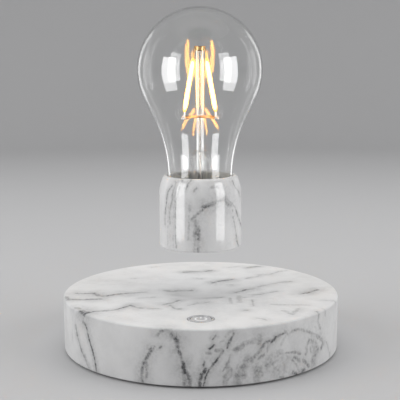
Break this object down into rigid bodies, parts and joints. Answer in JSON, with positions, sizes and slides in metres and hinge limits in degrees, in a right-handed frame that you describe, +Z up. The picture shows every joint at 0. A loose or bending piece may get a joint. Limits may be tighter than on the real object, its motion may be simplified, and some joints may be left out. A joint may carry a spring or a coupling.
{
  "type": "levitating bulb lamp",
  "caption": "Table lamp whose filament bulb, in a marble-look cap, floats above a round marble-look base with a shallow dish and a touch key.",
  "frame": {"origin": "centre of the round base at table level, under the rubber feet", "axes": "+Z up along the axis that the base and the floating bulb share; the touch key faces -Y and the power inlet faces +Y"},
  "size_m": [0.134, 0.134, 0.1643],
  "materials": {
    "marble": "gloss",
    "plate": "matte",
    "foot_rubber": "matte",
    "screw_steel": "satin",
    "key_ring": "satin",
    "key": "gloss",
    "copper": "satin",
    "circuit_board": "satin",
    "black_plastic": "satin",
    "ferrite": "matte",
    "aluminium": "satin",
    "magnet_nickel": "polished",
    "cement": "matte",
    "clear_glass": "polished",
    "support_wire": "satin",
    "filament_phosphor": "satin"
  },
  "bodies": {
    "base": {"base_shell": "marble", "bottom_plate": "plate", "foot_1": "foot_rubber", "foot_2": "foot_rubber", "foot_3": "foot_rubber", "foot_4": "foot_rubber", "screw_1": "screw_steel", "screw_2": "screw_steel", "screw_3": "screw_steel", "screw_4": "screw_steel", "touch_ring": "key_ring", "touch_key": "key", "touch_pad": "copper", "touch_spring": "screw_steel", "control_board": "circuit_board", "processor_chip": "black_plastic", "power_inductor": "ferrite", "capacitor_1": "aluminium", "capacitor_2": "aluminium", "dc_jack": "black_plastic", "dc_jack_pin": "screw_steel", "magnet_tray": "black_plastic", "ring_magnet": "ferrite", "transmit_coil": "copper", "bobbin_1": "black_plastic", "bobbin_2": "black_plastic", "bobbin_3": "black_plastic", "bobbin_4": "black_plastic", "winding_1": "copper", "winding_2": "copper", "winding_3": "copper", "winding_4": "copper", "core_1": "ferrite", "core_2": "ferrite", "core_3": "ferrite", "core_4": "ferrite", "sensor_board": "circuit_board"},
    "field_magnet": {"levitation_magnet": "magnet_nickel", "magnet_plate": "screw_steel"},
    "bulb": {"cap_shell": "marble", "cap_bottom": "marble", "magnet_cup": "black_plastic", "receiver_coil": "copper", "driver_board": "circuit_board", "driver_capacitor": "aluminium", "cement_ring": "cement", "glass_envelope": "clear_glass", "glass_stem": "clear_glass", "crown": "support_wire", "lower_wire_front": "support_wire", "lower_wire_back": "support_wire", "lead_wire_front": "support_wire", "lead_wire_back": "support_wire", "filament_1": "filament_phosphor", "filament_2": "filament_phosphor", "filament_3": "filament_phosphor", "filament_4": "filament_phosphor"}
  },
  "joints": [
    {"name": "bulb_lift", "type": "slide", "parent": "base", "child": "field_magnet", "axis": [0, 0, 1], "range_m": [-0.0224, 0.06], "stiffness_N_per_m": 40, "springref_m": 0.0244},
    {"name": "bulb_spin", "type": "hinge", "parent": "field_magnet", "child": "bulb", "pos_m": [0, 0, 0.05145], "axis": [0, 0, 1], "continuous": true}
  ]
}
